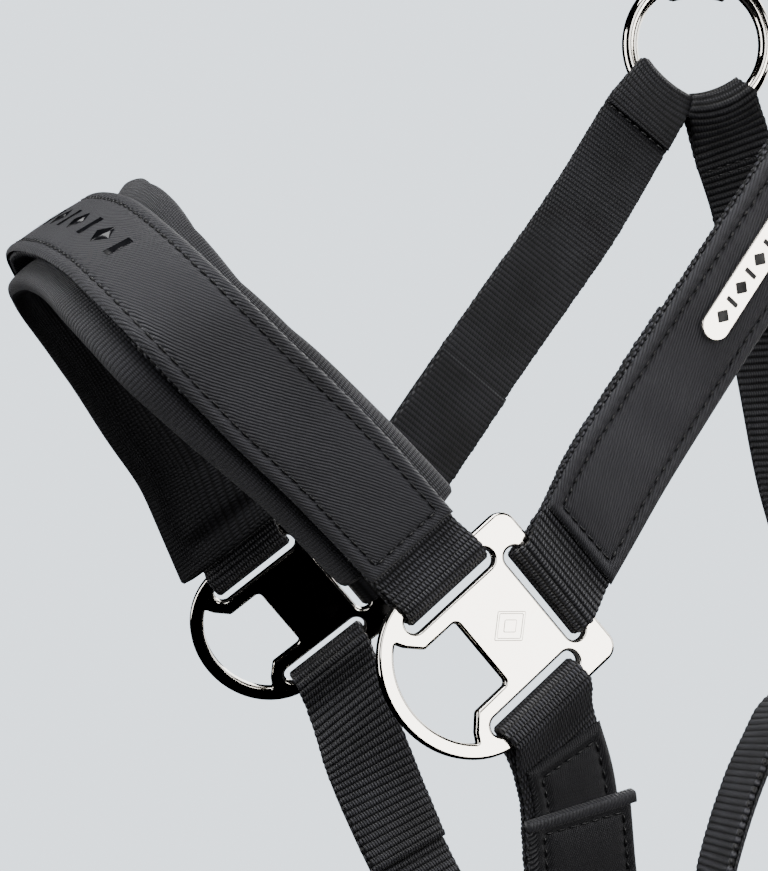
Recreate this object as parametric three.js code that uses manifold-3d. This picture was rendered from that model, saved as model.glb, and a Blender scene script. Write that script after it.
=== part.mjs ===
// A padded webbing headcollar for a full-size horse, in the shape it takes on the horse's head.
// Millimetres, +Z up. The horse would face -X, its near (left) side is -Y and its off side is +Y.
// The origin is the underside of the crown pad, where the headcollar hangs on the horse's poll.
import * as THREE from "three";
import { mergeVertices } from "three/addons/utils/BufferGeometryUtils.js";
import Module from "manifold-3d";

const wasm = await Module();
wasm.setup();
const vec = (x, y, z) => new THREE.Vector3(x, y, z);
const unit = (x, y, z) => vec(x, y, z).normalize();
const along = (p, ...steps) => steps.reduce((q, [d, s]) => q.addScaledVector(d, s), p.clone());

// ---- Driving dimensions -------------------------------------------------------------------
const WEB_WIDTH = 25; // nylon webbing, one inch
const WEB_THICK = 2;
const GAP = 0.4; // clearance between pieces that lie on each other
const HALF = (WEB_THICK + GAP) / 2; // a doubled strap's layers lie this far from its centre line
const FACING_WIDTH = 24; // fabric sewn over the outside of a strap, just inside its edges
const COVER_WIDTH = 26; // the noseband's and the crown's, which hide the webbing
const FACING_THICK = 1;
const FACING_OFFSET = HALF + WEB_THICK / 2 + GAP + FACING_THICK / 2;
const PAD_WIDTH = 41; // foam pad under the noseband and the crown
const PAD_THICK = 6;
const PAD_FIT = [[1, 36], [-1.3, 36.5], [1, 40], [1.5, 41], [1.5, 41]]; // the noseband pad from its near
// end to its off end: how far up it sits under the strap, and how wide it is there
const PAD_OFFSET = HALF + WEB_THICK / 2 + 2 * GAP + PAD_THICK / 2;
const RING_RADIUS = 21.5; // middle of the wire: a 38 mm ring of 5 mm wire
const WIRE_RADIUS = 2.5;
const STEP = 10; // distance between sections along a strap

// Cast side plate, in its own (a, b) plane: a runs towards the cheekpiece, b towards the chin.
const PLATE = {
  thick: 3.2,
  cheekEdge: 26.6,
  halfWidth: 22.2,
  corner: 4,
  dCentre: -6, // the D is half an ellipse on this centre
  dDeep: 19.6,
  bow: 3.8,
  slotHalf: 13.75, // half of a slot's length: the webbing passes with play
  slotWidth: 5,
  sideSlotAt: 3.3,
  sideSlotInner: 13.4,
  cheekSlotInner: 18.1,
  openingTop: -0.2,
  openingHalf: 9.5,
};

// ---- Layout: where the metal sits, measured from the middle between the two side plates -------
const POLL = vec(160, 0, 366); // underside of the crown pad
const NEAR_PLATE = { at: vec(0, -62, 0), a: unit(0.767, -0.055, 0.64), b: unit(0.623, -0.154, -0.77) };
const OFF_PLATE = { at: vec(0, 62, 0), a: unit(0.693, -0.384, 0.62), b: unit(0.67, 0.0225, -0.74) };
const UP = vec(0, 0, 1);
const NEAR_SIDE = vec(0, -1, 0);
const OFF_SIDE = vec(0, 1, 0);
const NEAR_RING = { at: vec(129, -84, 188), out: unit(-0.28, -0.96, 0) };
const OFF_RING = { at: vec(149.5, 82, 173), out: unit(0.38, 0.925, 0) };
const CHIN_RING = { at: vec(60, 0, -118), out: unit(0.33, 0, -0.94) };

// ---- Materials ------------------------------------------------------------------------------
const material = (color, roughness, metalness = 0) =>
  new THREE.MeshStandardMaterial({ color, roughness, metalness });
const WEBBING = material(0x1d1d1f, 0.85);
const FABRIC = material(0x232325, 0.7);
const LINING = material(0x141415, 0.9);
const NICKEL = material(0xd8d5cf, 0.15, 1);

const headcollar = new THREE.Group();
const worn = new THREE.Group(); // everything below is laid out from the middle of the side plates
worn.position.copy(POLL).negate();
headcollar.add(worn);

function add(name, geometry, mat, matrix) {
  const mesh = new THREE.Mesh(geometry, mat);
  mesh.name = name;
  if (matrix) matrix.decompose(mesh.position, mesh.quaternion, mesh.scale);
  worn.add(mesh);
  return mesh;
}

// ---- Solids: cutting and joining ----------------------------------------------------------------
function toSolid(geometry, matrix) {
  const g = geometry.index ? geometry.toNonIndexed() : geometry.clone();
  g.deleteAttribute("normal");
  g.deleteAttribute("uv");
  if (matrix) g.applyMatrix4(matrix);
  const merged = mergeVertices(g, 1e-3);
  const vertProperties = new Float32Array(merged.attributes.position.array);
  const triVerts = new Uint32Array(merged.index.array);
  return new wasm.Manifold(new wasm.Mesh({ numProp: 3, vertProperties, triVerts }));
}

function toGeometry(solid) {
  const mesh = solid.getMesh();
  const positions = new Float32Array(mesh.vertProperties);
  return new THREE.BufferGeometry()
    .setAttribute("position", new THREE.BufferAttribute(positions, 3))
    .setIndex(new THREE.BufferAttribute(mesh.triVerts, 1));
}

const frameMatrix = (at, x, y, z) => new THREE.Matrix4().makeBasis(x, y, z).setPosition(at);

// A flat shape extruded symmetrically about its own plane.
function slab(shape, thick, curveSegments = 8) {
  const g = new THREE.ExtrudeGeometry(shape, { depth: thick, bevelEnabled: false, curveSegments });
  return g.translate(0, 0, -thick / 2);
}

function stadium(length, width) {
  const s = new THREE.Shape();
  const r = width / 2;
  const h = length / 2 - r;
  s.absarc(h, 0, r, -Math.PI / 2, Math.PI / 2);
  s.absarc(-h, 0, r, Math.PI / 2, Math.PI * 1.5);
  return s;
}

// The corners of an outline, each once.
const distinct = (points) =>
  points.filter((p, i) => p.distanceTo(points[(i + 1) % points.length]) > 1e-3);

// ---- Straps ----------------------------------------------------------------------------------
// A section is { p: centre, w: across the strap, n: out of its face, width }.
function ribbon(sections, thick) {
  const positions = [];
  for (const { p, w, n, width } of sections)
    for (const [i, j] of [[-1, -1], [1, -1], [1, 1], [-1, 1]])
      positions.push(...along(p, [w, (i * width) / 2], [n, (j * thick) / 2]).toArray());
  const index = [];
  const quad = (a, b, c, d) => index.push(a, b, c, a, c, d);
  const turned = (a, b, c, d) => index.push(b, c, d, b, d, a);
  for (let s = 0; s < sections.length - 1; s++)
    for (let k = 0; k < 4; k++) {
      const [a, b] = [4 * s + k, 4 * s + ((k + 1) % 4)];
      (k < 2 ? quad : turned)(a, b, b + 4, a + 4);
    }
  const last = 4 * (sections.length - 1);
  quad(3, 2, 1, 0);
  quad(last, last + 1, last + 2, last + 3);
  const g = new THREE.BufferGeometry();
  g.setAttribute("position", new THREE.Float32BufferAttribute(positions, 3));
  g.setIndex(index);
  if (volume(g) < 0) g.setIndex(index.map((_, i) => index[i - (i % 3) + (2 - (i % 3))]));
  return g;
}

function volume(g) {
  const p = g.attributes.position;
  const [a, b, c] = [vec(0, 0, 0), vec(0, 0, 0), vec(0, 0, 0)];
  let v = 0;
  for (let i = 0; i < g.index.count; i += 3) {
    a.fromBufferAttribute(p, g.index.getX(i));
    b.fromBufferAttribute(p, g.index.getX(i + 1));
    c.fromBufferAttribute(p, g.index.getX(i + 2));
    v += a.dot(b.clone().cross(c));
  }
  return v;
}

// Sections along a smooth centre line through knots [{ p, w }], about STEP apart. out fixes which
// side of the strap is its outer face. At its ends a section lies as its knot says, slanting across
// the strap where the bar it comes from slants; within SHEAR it turns square to the line.
const SHEAR = 30;
function centreLine(knots, out, step = STEP) {
  const curve = new THREE.CatmullRomCurve3(knots.map((k) => k.p), false, "centripetal");
  const widths = new THREE.CatmullRomCurve3(knots.map((k) => k.w), false, "centripetal");
  const count = Math.round(curve.getLength() / step);
  const sections = [];
  for (let i = 0; i <= count; i++) {
    const u = curve.getUtoTmapping(i / count);
    const t = curve.getTangent(u);
    const w = widths.getPoint(u).normalize();
    const inward = Math.min(1, (Math.min(i, count - i) * step) / SHEAR);
    w.addScaledVector(t, -w.dot(t) * inward * inward * (3 - 2 * inward)).normalize();
    const n = t.clone().cross(w).normalize();
    sections.push({ p: curve.getPoint(u), t, w, n, width: WEB_WIDTH });
  }
  if (sections[0].n.dot(out) < 0) for (const s of sections) s.n.negate();
  return sections;
}

const offset = (sections, distance, width, sideways = 0) =>
  sections.map((s) => ({ ...s, p: along(s.p, [s.n, distance], [s.w, sideways]), width: width ?? s.width }));

// One end of a doubled strap, folded round a bar or a ring's wire that runs along w. e points from
// the fold along the strap, which need not be square to the bar, and out is roughly the strap's
// outer face. The webbing narrows to pinch inside the fold and is mouth wide where it leaves it.
// Returns the sections round the bar, and the outer and inner layers' from the fold outwards.
function fold({ at, e, out, w, radius, straight = 0, close = 9, pinch = WEB_WIDTH, mouth = WEB_WIDTH }) {
  const over = along(e, [w, -e.dot(w)]).normalize();
  const face = w.clone().cross(over);
  if (face.dot(out) < 0) face.negate();
  const arc = [];
  for (let i = -4; i <= 4; i++) {
    const turn = (i / 4) * (Math.PI / 2);
    const n = along(vec(0, 0, 0), [over, -Math.cos(turn)], [face, Math.sin(turn)]);
    const width = pinch + (mouth - pinch) * (1 - Math.cos(turn));
    arc.push({ p: along(at, [n, radius]), w, n, width });
  }
  const layer = (side) => {
    const sections = [];
    for (const f of straight ? [0, 0.33, 0.67, 1] : [0.33, 0.67, 1]) {
      const ease = f * f * (3 - 2 * f);
      const height = radius + (HALF - radius) * ease;
      sections.push({
        p: along(at, [e, straight + close * f], [face, side * height]),
        w,
        n: face.clone(),
        width: mouth + (WEB_WIDTH - mouth) * ease,
      });
    }
    return sections;
  };
  return { at, e, out: face, w, arc, outer: layer(1), inner: layer(-1), reach: straight + close };
}

// The webbing of a strap: a centre line with a fold at each end, whose tails lie inside it.
// tailSections is how many sections of the centre line each tail covers.
function doubledStrap(line, start, end, tails) {
  const inner = offset(line, -HALF);
  const flip = (s) => ({ ...s, n: s.n.clone().negate() });
  const turned = (sections) => sections.slice().reverse();
  const sections = offset(line, HALF);
  if (start) {
    sections.unshift(...start.arc, ...start.outer);
    sections.unshift(...turned(inner.slice(0, tails[0])).map(flip), ...turned(start.inner).map(flip));
  }
  if (end) {
    sections.push(...turned(end.outer), ...turned(end.arc), ...end.inner.map(flip));
    sections.push(...turned(inner.slice(-tails[1])).map(flip));
  }
  return ribbon(sections, WEB_THICK);
}

// Knots of a centre line, at these distances from where a fold's two layers have closed up.
const leaving = (f, ...distances) => distances.map((d) => ({ p: along(f.at, [f.e, f.reach + d]), w: f.w }));

// ---- Side plates --------------------------------------------------------------------------------
function sidePlate(name, { at, a, b }) {
  const P = PLATE;
  const s = new THREE.Shape();
  const e = P.cheekEdge;
  const h = P.halfWidth;
  const c = P.corner;
  s.moveTo(P.dCentre, -h);
  s.lineTo(e - c, -h);
  s.absarc(e - c, -h + c, c, -Math.PI / 2, 0);
  s.absarc(e - c, h - c, c, 0, Math.PI / 2);
  s.lineTo(P.dCentre, h);
  s.absellipse(P.dCentre, 0, P.dDeep, h, Math.PI / 2, Math.PI * 1.5);
  const bevel = 0.5;
  const g = new THREE.ExtrudeGeometry(new THREE.Shape(distinct(s.getPoints(6))), {
    depth: P.thick - 2 * bevel,
    bevelEnabled: true,
    bevelThickness: bevel,
    bevelSize: bevel,
    bevelOffset: -bevel,
    bevelSegments: 1,
  });
  g.translate(0, 0, bevel - P.thick / 2);
  const slot = stadium(2 * P.slotHalf, P.slotWidth);
  const middle = P.slotWidth / 2;
  const hole = (shape, x, y, turn = 0) => {
    const outline = new THREE.Shape(distinct(shape.getPoints(5)));
    return toSolid(slab(outline, P.thick + 1).rotateZ(turn).translate(x, y, 0));
  };
  const plate = toSolid(g)
    .subtract(hole(slot, P.sideSlotAt, -P.sideSlotInner - middle))
    .subtract(hole(slot, P.sideSlotAt, P.sideSlotInner + middle))
    .subtract(hole(slot, P.cheekSlotInner + middle, 0, Math.PI / 2))
    .subtract(hole(dOpening(), 0, 0));
  const n = a.clone().cross(b).normalize();
  const bb = n.clone().cross(a).normalize();
  return add(name, toGeometry(plate), NICKEL, frameMatrix(at, a, bb, n));
}

// The lead opening: straight below the plate's middle, wider where the bow springs from it.
function dOpening() {
  const P = PLATE;
  const o = P.openingHalf;
  const tooth = P.openingTop - 10.4; // where the straight sides end and the opening widens
  const shape = new THREE.Shape();
  shape.moveTo(P.openingTop, -o);
  shape.lineTo(P.openingTop, o);
  shape.lineTo(tooth, o);
  shape.lineTo(tooth - 2.6, o + 3.6);
  const [deep, half] = [P.dDeep - P.bow, P.halfWidth - P.bow];
  shape.absellipse(P.dCentre, 0, deep, half, Math.PI * 0.69, Math.PI * 1.31);
  shape.lineTo(tooth - 2.6, -o - 3.6);
  shape.lineTo(tooth, -o);
  return shape;
}

// The bar at one of a plate's three outer slots, for a strap to fold round.
function plateBar({ at, a, b }, which, out) {
  const P = PLATE;
  const side = (P.sideSlotInner + P.slotWidth + P.halfWidth) / 2;
  const cheek = (P.cheekSlotInner + P.slotWidth + P.cheekEdge) / 2;
  const [s, t] = { nose: [P.sideSlotAt, -side], chin: [P.sideSlotAt, side], cheek: [cheek, 0] }[which];
  return { at: along(at, [a, s], [b, t]), w: (which === "cheek" ? b : a).clone(), out, radius: 3.9 };
}

// The stretch of a ring's wire in direction dir from its middle.
function ringBar(ring, dir) {
  const at = along(ring.at, [dir, RING_RADIUS - 0.9]);
  const w = ring.out.clone().cross(dir).normalize();
  return { at, w, out: ring.out, radius: 5.2, close: 13, pinch: 16, mouth: 22 };
}

// The fold of a strap round a bar, on its way to a knot.
function foldTo(bar, knot) {
  if (bar.w.dot(knot.w) < 0) bar.w.negate();
  return fold({ e: knot.p.clone().sub(bar.at).normalize(), ...bar });
}

function ring(name, { at, out }) {
  const g = new THREE.TorusGeometry(RING_RADIUS, WIRE_RADIUS, 10, 36);
  const x = vec(0, 1, 0.001).cross(out).normalize();
  return add(name, g, NICKEL, frameMatrix(at, x, out.clone().cross(x), out));
}

const knots = (...rows) => rows.map(([x, y, z, w]) => ({ p: vec(x, y, z), w: w.clone() }));

// One faced strap: webbing doubled back at both ends, with fabric sewn over its outer face.
function strap(name, from, middle, to, options = {}) {
  const { tails = [6, 6], face = [0, 0], wide = FACING_WIDTH, aside = 0, step = STEP } = options;
  const start = foldTo(from, middle[0]);
  const end = foldTo(to, middle.at(-1));
  const first = leaving(start, 1);
  const last = leaving(end, ...(to.stiff ? [1 + to.stiff, 1] : [1]));
  const line = centreLine([...first, ...middle, ...last], start.out, step);
  add(name + "_webbing", doubledStrap(line, start, end, tails), WEBBING);
  const part = offset(line.slice(face[0], line.length - face[1]), FACING_OFFSET, wide, aside);
  add(name + "_facing", ribbon(part, FACING_THICK), FABRIC);
  return line;
}

// ---- Noseband, cheekpieces, badge -----------------------------------------------------------------
function noseband() {
  const wNear = NEAR_PLATE.a;
  const wNose = unit(0.83, 0, 0.55);
  const start = plateBar(NEAR_PLATE, "nose", NEAR_SIDE);
  const end = plateBar(OFF_PLATE, "nose", OFF_SIDE);
  const line = strap("noseband", start, knots(
    [-38, -60, 45, wNear], [-57, -60, 62, wNear], [-72, -57, 77, unit(0.79, 0, 0.61)],
    [-79, -44, 88, wNose], [-81, -24, 96, wNose], [-80, 0, 100, wNose],
    [-77, 22, 101, wNose], [-72, 40, 100, wNose], [-64, 53, 94, unit(0.82, -0.06, 0.56)],
    [-48, 60, 77, unit(0.8, -0.14, 0.57)], [-36, 62, 61, unit(0.77, -0.2, 0.58)],
    [-24, 62.5, 45, unit(0.73, -0.28, 0.6)],
  ), end, { tails: [8, 8], wide: COVER_WIDTH });
  const pad = line.flatMap((s, i) => {
    const f = ((PAD_FIT.length - 1) * i) / line.length;
    const k = Math.floor(f);
    const [aside, width] = [0, 1].map((c) => PAD_FIT[k][c] + (PAD_FIT[k + 1][c] - PAD_FIT[k][c]) * (f - k));
    return offset([s], -PAD_OFFSET, width, aside);
  });
  for (const i of [0, pad.length - 1]) pad[i].width = PAD_WIDTH - 6;
  add("noseband_pad", ribbon(pad, PAD_THICK), LINING);
}

function cheekpieces() {
  const nearEnd = ringBar(NEAR_RING, unitIn(NEAR_RING, -0.5, -0.86));
  const offEnd = ringBar(OFF_RING, unitIn(OFF_RING, -0.65, -0.76));
  const wNear = unit(0.8, -0.1, -0.58);
  const wOff = unit(0.74, -0.28, -0.6);
  const near = strap("near_cheek", plateBar(NEAR_PLATE, "cheek", NEAR_SIDE), knots(
    [33, -66, 41, unit(0.7, -0.13, -0.69)], [46, -68.5, 61, unit(0.76, -0.12, -0.63)],
    [65, -74, 91, wNear], [92, -80, 132, wNear],
  ), nearEnd);
  strap("off_cheek", plateBar(OFF_PLATE, "cheek", OFF_SIDE), knots(
    [37, 57, 40, unit(0.69, -0.08, -0.71)], [56, 61, 63, unit(0.71, -0.14, -0.68)],
    [76, 66, 86, unit(0.73, -0.2, -0.65)], [102, 72, 116, wOff],
  ), offEnd, { tails: [6, 2] });
  badge(near);
}

// A direction in a ring's own plane: x along the horse towards the poll, z up.
function unitIn({ out }, x, z) {
  const back = vec(-out.y, out.x, 0);
  if (back.x < 0) back.negate();
  return along(vec(0, 0, 0), [back, x], [UP, z]).normalize();
}

function badge(line) {
  const middle = line[Math.round(line.length * 0.55)];
  const thick = 1.2;
  const lift = FACING_OFFSET + FACING_THICK / 2 + GAP + 0.6 + thick / 2;
  const at = along(middle.p, [middle.n, lift]);
  const x = middle.t;
  const y = middle.n.clone().cross(x).normalize();
  add("near_badge", slab(stadium(62, 7.5), thick), NICKEL, frameMatrix(at, x, y, middle.n));
}

// ---- Chin straps and the strap back to the throat ---------------------------------------------------
function chin() {
  const back = unit(0.94, 0, 0.33);
  const eOff = along(vec(0, 0, 0), [back, -0.3], [vec(0, 1, 0), 0.95]).normalize();
  const eNear = along(vec(0, 0, 0), [back, -0.3], [vec(0, -1, 0), 0.95]).normalize();
  const offEnd = ringBar(CHIN_RING, eOff);
  const nearEnd = ringBar(CHIN_RING, eNear);
  const wOff = unit(0.75, 0.1, 0.62);
  const wNear = unit(0.8, -0.1, 0.5);
  strap("off_chin", plateBar(OFF_PLATE, "chin", OFF_SIDE), knots(
    [23, 59, -35, unit(0.7, -0.2, 0.66)], [33.5, 55, -62, wOff], [45, 47, -90, wOff],
  ), offEnd, { tails: [5, 3], face: [1, 0] });
  const line = strap("near_chin", plateBar(NEAR_PLATE, "chin", NEAR_SIDE), knots(
    [22.5, -62, -33, unit(0.79, -0.08, 0.57)], [28, -57, -58, wNear], [39, -47, -88, wNear],
  ), nearEnd, { tails: [4, 4], wide: 22.6, aside: 1 });
  const tab = offset(line.slice(1, 9), FACING_OFFSET + FACING_THICK / 2 + GAP + 1.3, 28, 0.6);
  add("near_chin_tab", ribbon(tab, 2.6), FABRIC);
}

function connecting() {
  const back = unit(0.94, 0, 0.33);
  const across = vec(0, 1, 0);
  const turned = unit(0.25, 0.97, 0);
  const start = ringBar(CHIN_RING, back);
  const at = vec(183, 0, -14);
  const end = { at, e: vec(-1, 0, 0), out: vec(0, 0, -1), w: across, radius: 4.6, straight: 30 };
  strap("connecting", start, knots(
    [98, 0, -88, turned], [102, 0, -68, turned], [112, 0, -42, turned], [122, 0, -26, turned],
  ), end, { tails: [4, 2], face: [2, 1], step: 6 });
}

function throat() {
  const start = ringBar(OFF_RING, unitIn(OFF_RING, 0.34, -0.94));
  const x = unit(1, 0, 0.1);
  strap("throat", start, knots(
    [171, 84, 120, unit(0.9, -0.3, 0.2)], [176, 80, 70, x], [178, 68, 30, x], [174, 40, -2, x],
    [168, 0, -12, vec(1, 0, 0)], [166, -40, -2, x], [166, -70, 30, x], [167, -88, 75, x],
  ), SNAP_EYE);
}

// ---- Snap that holds the throat strap to the near ring ------------------------------------------------
// In its own frame x runs from the ring wire to the strap, y outwards, z along the wire.
const SNAP_DIR = unitIn(NEAR_RING, 0.5, -0.866);
const SNAP_ACROSS = NEAR_RING.out.clone().cross(SNAP_DIR).normalize();
const SNAP_AT = along(NEAR_RING.at, [SNAP_DIR, RING_RADIUS]);
const SNAP_FRAME = frameMatrix(SNAP_AT, SNAP_DIR, NEAR_RING.out, SNAP_DIR.clone().cross(NEAR_RING.out));
const SNAP_EYE = {
  at: along(SNAP_AT, [SNAP_DIR, 60]),
  e: SNAP_DIR,
  out: NEAR_RING.out,
  w: SNAP_ACROSS.clone(),
  radius: 4.4,
  stiff: 6, // the strap keeps the snap's direction this far
};

function cylinder(r, from, to, y = 0) {
  const g = new THREE.CylinderGeometry(r, r, to - from, 20);
  return toSolid(g.rotateZ(Math.PI / 2).translate((from + to) / 2, y, 0));
}

const boxed = (x0, x1, y0, y1, z0, z1) =>
  new THREE.BoxGeometry(x1 - x0, y1 - y0, z1 - z0).translate((x0 + x1) / 2, (y0 + y1) / 2, (z0 + z1) / 2);
const box = (...sides) => toSolid(boxed(...sides));

function snap() {
  const boltAt = 7.6;
  const hook = new THREE.Shape();
  hook.absarc(0, 0, 9.6, 0, Math.PI * 2);
  hook.holes.push(new THREE.Path().absarc(0, 0, 5.6, 0, Math.PI * 2, true));
  const body = toSolid(slab(hook, 7, 16))
    .subtract(box(-3, 9.7, 3.2, 12, -5, 5))
    .add(box(7.5, 32, -3.6, 3.6, -3.5, 3.5))
    .add(box(13, 20, 3, boltAt + 3, -3.5, 3.5))
    .add(cylinder(4.1, 31, 42))
    .subtract(cylinder(2, 12, 21, boltAt))
    .subtract(cylinder(2.4, 33, 43));
  add("snap_body", toGeometry(body), NICKEL, SNAP_FRAME);
  const thumb = cylinder(3.2, 26, 30, boltAt).subtract(box(24, 32, 0, 4.8, -4, 4));
  const bolt = cylinder(1.6, -2.6, 27, boltAt).add(thumb);
  add("snap_bolt", toGeometry(bolt), NICKEL, SNAP_FRAME);
  const loop = box(46, 62, -2, 2, -17.5, 17.5).subtract(box(50, 58, -3, 3, -13.5, 13.5));
  const eye = loop.add(cylinder(2, 34, 47));
  add("snap_eye", toGeometry(eye), NICKEL, SNAP_FRAME);
}

// ---- Crown strap and its buckle ----------------------------------------------------------------------
const CHAPE_LENGTH = 60; // from the near ring's wire to the buckle's heel bar
const HEEL = along(NEAR_RING.at, [UP, RING_RADIUS - 0.9 + CHAPE_LENGTH]);
const BUCKLE_FRAME = frameMatrix(HEEL, UP, NEAR_RING.out, UP.clone().cross(NEAR_RING.out));
const HOLE_PITCH = 22;

function crown() {
  const w = NEAR_RING.out.clone().cross(UP);
  if (w.x < 0) w.negate();
  const x = vec(1, 0, 0);
  // Beside the buckle the strap is laid out as [height above the heel bar, distance outwards].
  const buckled = [[58, -3.6], [44, -4.4], [32, -4.8], [21, -4.8], [14, 0], [7.5, 4.9], [1, 6], [-7, 5.2]];
  const free = [[-15, 3.6], [-23, 3], [-34, 2.8], [-46, 2.8]];
  const beside = ([up, out]) => ({ p: along(HEEL, [UP, up], [NEAR_RING.out, out]), w });
  const near = [...buckled, ...free].map(beside);
  const top = POLL.z + PAD_OFFSET + PAD_THICK / 2;
  const over = knots(
    [156, 90, 250, x], [162, 86, 300, x], [163, 64, 346, x], [162, 34, top - 7, x], [160, 0, top, x],
    [157, -34, top - 7, x], [150, -62, 350, x], [138, -80, 334, w],
  );
  const start = foldTo(ringBar(OFF_RING, UP), over[0]);
  const line = centreLine([...leaving(start, 1), ...over, ...near], start.out, 5);
  const missBy = (s, up) => Math.abs(s.p.z - HEEL.z - up);
  let punched = toSolid(doubledStrap(line, start, null, [12, 0]));
  for (const hole of [-2, -1, 0, 1, 2]) {
    const up = 11.5 + hole * HOLE_PITCH;
    const nearSide = line.filter((s) => s.p.y < 0);
    const s = nearSide.reduce((best, s) => (missBy(s, up) < missBy(best, up) ? s : best));
    const at = along(s.p, [s.n, HALF]);
    const g = slab(stadium(11.5, 5.4), 5);
    punched = punched.subtract(toSolid(g, frameMatrix(at, s.t, s.n.clone().cross(s.t), s.n)));
  }
  add("crown_webbing", toGeometry(punched), WEBBING);
  const padded = line.filter((s) => s.p.z > 285 && (s.p.y > -70 || s.p.z > 345));
  const pad = offset(padded, -PAD_OFFSET, PAD_WIDTH);
  add("crown_pad", ribbon(pad.filter((s, i) => i % 2 === 0), PAD_THICK), LINING);
  const faced = offset(padded.slice(3, -3), FACING_OFFSET, COVER_WIDTH);
  add("crown_facing", ribbon(faced, FACING_THICK), FABRIC);
}

function buckle() {
  const start = fold({ ...ringBar(NEAR_RING, UP), e: UP });
  const end = fold({ at: HEEL, e: UP.clone().negate(), out: start.out, w: start.w, radius: 4.4 });
  const ends = [...leaving(start, 1), ...leaving(end, 1)];
  const line = centreLine(ends, start.out, 6);
  const slot = toSolid(boxed(-6.6, 8, -9, 9, -3, 3), BUCKLE_FRAME);
  const chape = toSolid(doubledStrap(line, start, end, [3, 2])).subtract(slot);
  add("buckle_chape", toGeometry(chape), WEBBING);
  const frame = box(-2, 26, -2, 2, -18, 18).subtract(box(2, 22, -3, 3, -14, 14));
  add("buckle_frame", toGeometry(frame), NICKEL, BUCKLE_FRAME);
  const collar = new THREE.Shape().absarc(0, 0, 4.8, 0, Math.PI * 2);
  collar.holes.push(new THREE.Path().absarc(0, 0, 3.1, 0, Math.PI * 2, true));
  const tongue = toSolid(slab(collar, 3, 12)).add(box(4, 27, 2.3, 4.3, -1.2, 1.2));
  add("buckle_tongue", toGeometry(tongue), NICKEL, BUCKLE_FRAME);
  // The keeper holds the crown strap's free end against the chape.
  const keeper = box(-34, -26, -4.4, 7, -16, 16).subtract(box(-35, -25, -2.8, 5.4, -13.6, 13.6));
  add("crown_keeper", toGeometry(keeper), WEBBING, BUCKLE_FRAME);
}

sidePlate("near_side_plate", NEAR_PLATE);
sidePlate("off_side_plate", OFF_PLATE);
ring("near_ring", NEAR_RING);
ring("off_ring", OFF_RING);
ring("chin_ring", CHIN_RING);
noseband();
cheekpieces();
chin();
connecting();
throat();
snap();
buckle();
crown();

export default headcollar;
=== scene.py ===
import math
import bpy
import bmesh
import numpy as np
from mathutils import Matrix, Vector


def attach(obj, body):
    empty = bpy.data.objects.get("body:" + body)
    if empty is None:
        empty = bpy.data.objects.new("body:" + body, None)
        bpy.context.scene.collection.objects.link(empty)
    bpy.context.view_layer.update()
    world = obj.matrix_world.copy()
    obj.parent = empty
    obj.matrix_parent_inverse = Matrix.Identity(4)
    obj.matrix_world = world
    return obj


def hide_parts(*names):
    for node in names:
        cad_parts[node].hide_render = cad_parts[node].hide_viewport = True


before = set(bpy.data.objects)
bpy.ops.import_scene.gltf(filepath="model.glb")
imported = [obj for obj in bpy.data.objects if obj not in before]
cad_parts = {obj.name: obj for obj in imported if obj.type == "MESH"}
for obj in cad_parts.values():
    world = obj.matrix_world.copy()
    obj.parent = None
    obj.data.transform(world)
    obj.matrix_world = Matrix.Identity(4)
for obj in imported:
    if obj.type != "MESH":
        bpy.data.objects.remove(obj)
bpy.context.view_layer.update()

V = lambda *c: np.array(c, float)
unit = lambda *c: V(*c) / np.linalg.norm(c)
POLL = V(160, 0, 366)
UP, ACROSS = V(0, 0, 1), V(0, 1, 0)
ROW = lambda points: (np.asarray(points, float) - POLL) / 1000

WEB, GAP = 2.0, 0.4
HALF = (WEB + GAP) / 2
FACED, COVER = 24.0, 26.0  # widths of the facings, and of the noseband's and the crown's
WEB_HALF = 12.5  # half the webbing's width
PAD_THICK = 6.0
FACING_AT = HALF + WEB / 2 + GAP + 0.5
PAD_AT = HALF + WEB / 2 + 2 * GAP + PAD_THICK / 2
RIB = 2.0  # one rib of the webbing
HEM, STITCH = 3.3, 3.1  # from a facing's edge to its seam, and one stitch with the gap after it
RING, WIRE = 21.5, 2.5  # radius of a ring's middle line, and of its wire
ARC_STEPS, LAYER_STEPS = 17, 12  # sections round a strap's fold, and along each layer that leaves it
SHEAR = 30.0  # the stretch in which a strap turns square to its line, from the slant of its bar


# ---- Node materials ---------------------------------------------------------------------------
def new_material(name, color, roughness, metallic=0.0, **inputs):
    m = bpy.data.materials.new(name)
    m.use_nodes = True
    bsdf = m.node_tree.nodes["Principled BSDF"]
    bsdf.inputs["Base Color"].default_value = (*color, 1)
    bsdf.inputs["Roughness"].default_value = roughness
    bsdf.inputs["Metallic"].default_value = metallic
    for key, value in inputs.items():
        bsdf.inputs[key.replace("_", " ")].default_value = value
    return m, Nodes(m.node_tree), bsdf


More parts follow.
